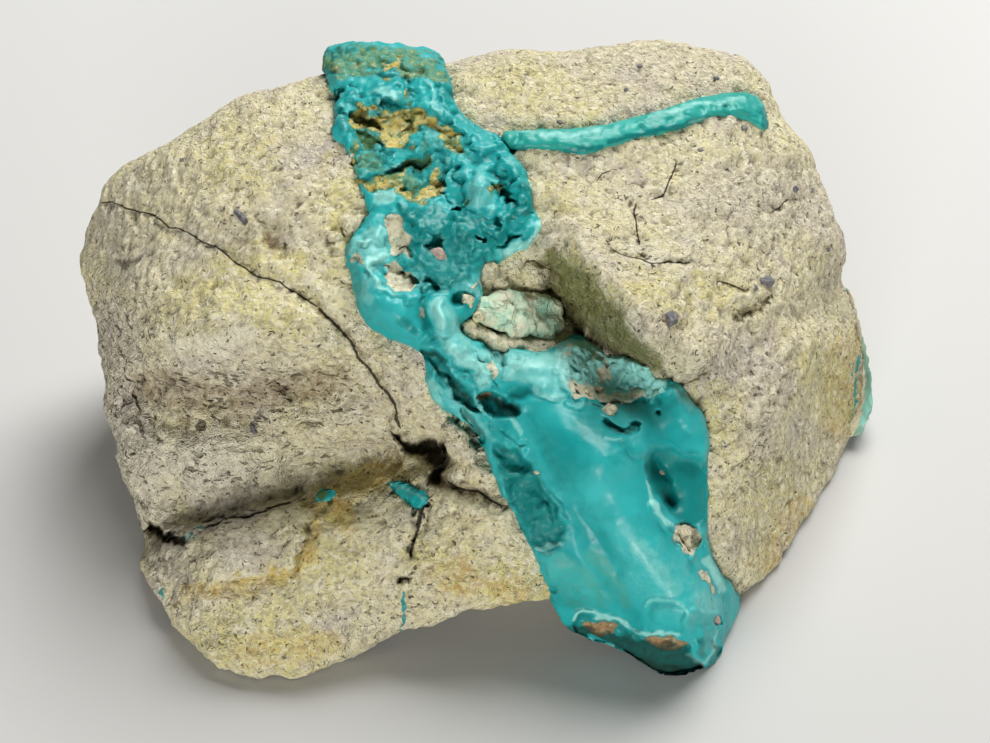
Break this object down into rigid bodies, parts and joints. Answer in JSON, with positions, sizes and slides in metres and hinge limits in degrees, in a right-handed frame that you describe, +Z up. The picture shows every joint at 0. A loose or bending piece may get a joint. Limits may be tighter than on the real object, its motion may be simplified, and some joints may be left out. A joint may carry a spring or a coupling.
{
  "type": "raw turquoise nugget",
  "caption": "Raw turquoise nugget: a blocky pale host rock crossed by a raised, waxy vein of turquoise, with a thin side vein; a mineral specimen that rests on its own worn base.",
  "frame": {"origin": "middle of the nugget's footprint box, on the surface that it rests on", "axes": "+Z up, +X along the longest side, -Y towards the show face with the broad vein"},
  "size_m": [0.071, 0.0508, 0.0338],
  "materials": {
    "host_rock": "dull, gritty, pitted pale volcanic rock",
    "turquoise": "waxy, half polished turquoise",
    "side_turquoise": "waxy turquoise, a little greener",
    "crust_turquoise": "thin waxy turquoise coat",
    "chip_turquoise": "waxy turquoise",
    "pale_chunk": "chalky, pale green, crumbly",
    "fragment": "dull, gritty"
  },
  "bodies": {
    "root": {"host_rock": "host_rock", "turquoise_vein": "turquoise", "side_vein": "side_turquoise", "edge_crust": "crust_turquoise", "turquoise_chip": "chip_turquoise", "small_chip": "chip_turquoise", "pocket_chunk": "pale_chunk", "wedged_fragment": "fragment"}
  },
  "joints": []
}
